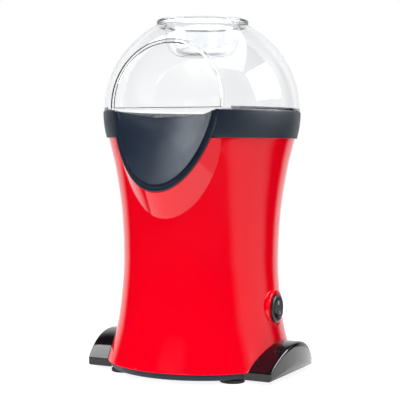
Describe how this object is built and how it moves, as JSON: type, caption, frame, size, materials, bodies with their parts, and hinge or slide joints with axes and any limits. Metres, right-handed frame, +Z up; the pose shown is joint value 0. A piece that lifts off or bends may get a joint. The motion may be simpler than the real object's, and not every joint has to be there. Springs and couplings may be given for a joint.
{
  "type": "popcorn maker",
  "caption": "Hot-air popcorn maker: hourglass body, clear dome with a front mouth and chute, lift-out measuring cup and round rocker switch.",
  "frame": {"origin": "on the table under the middle of the body", "axes": "+Z up; the chute faces -Y; the switch is on +X"},
  "size_m": [0.175, 0.164, 0.29],
  "materials": {
    "red_shell": "glossy saturated red moulded plastic, polished",
    "dark_plastic": "satin dark blue-grey moulded plastic",
    "black_gloss": "glossy near-black moulded plastic",
    "rubber": "matt black rubber",
    "clear_plastic": "clear polished polycarbonate",
    "switch_black": "fine-textured black plastic",
    "aluminium": "spun aluminium",
    "steel": "zinc-plated steel",
    "nylon": "off-white heat-resistant nylon",
    "mica": "laminated mica card",
    "nichrome": "oxidised nickel-chrome wire",
    "board": "green circuit board",
    "brass": "brass spade terminal",
    "wire_insulation": "silicone insulated wire"
  },
  "bodies": {
    "base": {"outer_shell": "red_shell", "top_ring": "dark_plastic", "base_plate": "dark_plastic", "rubber_foot_front_left": "rubber", "rubber_foot_front_right": "rubber", "rubber_foot_rear_right": "rubber", "rubber_foot_rear_left": "rubber", "side_foot_right": "black_gloss", "side_foot_left": "black_gloss", "base_screw_1": "steel", "base_screw_2": "steel", "base_screw_3": "steel", "side_foot_screw_1": "steel", "side_foot_screw_2": "steel", "clip_screw_1": "steel", "clip_screw_2": "steel", "clip_screw_3": "steel", "popping_chamber": "aluminium", "chamber_clip_1": "steel", "chamber_clip_2": "steel", "chamber_clip_3": "steel", "heat_shield": "steel", "fan_housing": "nylon", "duct_screw_1": "steel", "duct_screw_2": "steel", "duct_screw_3": "steel", "motor_screw_1": "steel", "motor_screw_2": "steel", "mica_card_x": "mica", "mica_card_y": "mica", "heating_coil": "nichrome", "motor_can": "steel", "motor_end_cap": "nylon", "rectifier_board": "board", "diode_1": "switch_black", "diode_2": "switch_black", "diode_3": "switch_black", "diode_4": "switch_black", "thermostat_bracket": "steel", "thermostat": "switch_black", "thermal_fuse": "nylon", "fuse_clip": "steel", "switch_housing": "switch_black", "switch_terminal_1": "brass", "switch_terminal_2": "brass", "cord_gland": "rubber", "wire_live": "wire_insulation", "wire_switched": "wire_insulation", "wire_neutral": "wire_insulation"},
    "fan": {"impeller": "nylon", "motor_shaft": "steel"},
    "rocker": {"switch_rocker": "switch_black"},
    "lid": {"dome": "clear_plastic", "chute": "dark_plastic"},
    "cup": {"measuring_cup": "clear_plastic"}
  },
  "joints": [
    {"name": "lid_lift", "type": "slide", "parent": "base", "child": "lid", "axis": [0, 0, 1], "range_m": [0, 0.12]},
    {"name": "cup_lift", "type": "slide", "parent": "lid", "child": "cup", "axis": [0, 0, 1], "range_m": [0, 0.06]},
    {"name": "rocker_tip", "type": "hinge", "parent": "base", "child": "rocker", "pos_m": [0.0676, 0, 0.0547], "axis": [0, 1, 0], "range_deg": [0, 17]},
    {"name": "fan_spin", "type": "hinge", "parent": "base", "child": "fan", "pos_m": [0, 0, 0.05], "axis": [0, 0, 1], "continuous": true}
  ]
}
